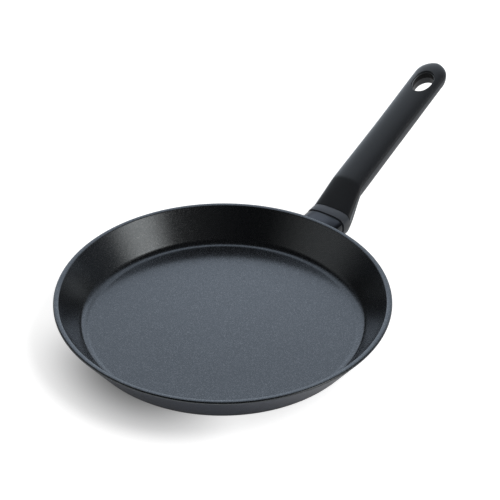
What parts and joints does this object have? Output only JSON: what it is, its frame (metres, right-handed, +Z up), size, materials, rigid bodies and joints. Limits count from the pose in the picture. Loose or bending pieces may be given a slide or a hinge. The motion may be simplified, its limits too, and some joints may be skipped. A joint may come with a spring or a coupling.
{
  "type": "pancake pan",
  "caption": "Low round pancake pan with sloped sides, a flat floor and a long cranked handle with a hanging hole.",
  "frame": {"origin": "centre of the flat resting face under the base, on the pan's axis", "axes": "+Z up along the pan's axis, +X along the handle away from the pan, +Y level across the handle: seen from above with the handle pointing right, +Y points up the view"},
  "size_m": [0.4353, 0.25, 0.0913],
  "materials": {
    "nonstick_coating": "dark non-stick coating with fine light flakes on forged aluminium, satin gloss",
    "induction_steel": "turned stainless steel plate",
    "boss_aluminium": "bare cast aluminium",
    "guard_metal": "satin drawn metal sleeve",
    "core_plastic": "satin grey phenolic moulding",
    "cover_plastic": "soft-touch black moulding, fine grain",
    "fastener_steel": "zinc plated steel"
  },
  "bodies": {
    "root": {"pan_body": "nonstick_coating", "induction_plate": "induction_steel", "wall_boss": "boss_aluminium", "flame_guard": "guard_metal", "handle_core": "core_plastic", "grip_cover": "cover_plastic", "flat_washer": "fastener_steel", "lock_washer": "fastener_steel", "handle_screw": "fastener_steel"}
  },
  "joints": []
}
